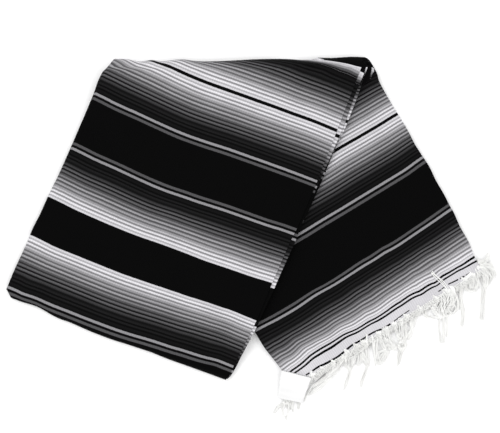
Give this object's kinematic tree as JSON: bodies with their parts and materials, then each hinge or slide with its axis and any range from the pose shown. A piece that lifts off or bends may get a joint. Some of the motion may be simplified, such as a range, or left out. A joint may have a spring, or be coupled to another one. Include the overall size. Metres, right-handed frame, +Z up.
{
  "type": "folded serape blanket",
  "caption": "Striped woven serape blanket, folded lengthwise to a strip, turned over at a slanting fold and laid flat, with a knotted fringe and a bare label.",
  "frame": {"origin": "on the floor, under the middle of the whole outline", "axes": "+X to the right along the upper fold, +Y towards the upper fold, +Z up from the floor"},
  "size_m": [0.7875, 0.5702, 0.0323],
  "materials": {
    "striped_cloth": "black, grey and white weft-faced wool-like cloth, matt",
    "fringe_yarn": "cream-white knotted warp yarns, matt",
    "label_cloth": "plain white woven label, bare"
  },
  "bodies": {
    "root": {"front_stretch": "striped_cloth", "back_stretch": "striped_cloth", "front_layers": "striped_cloth", "back_layers": "striped_cloth", "fringe_upper": "fringe_yarn", "fringe_lower": "fringe_yarn", "label": "label_cloth"}
  },
  "joints": []
}
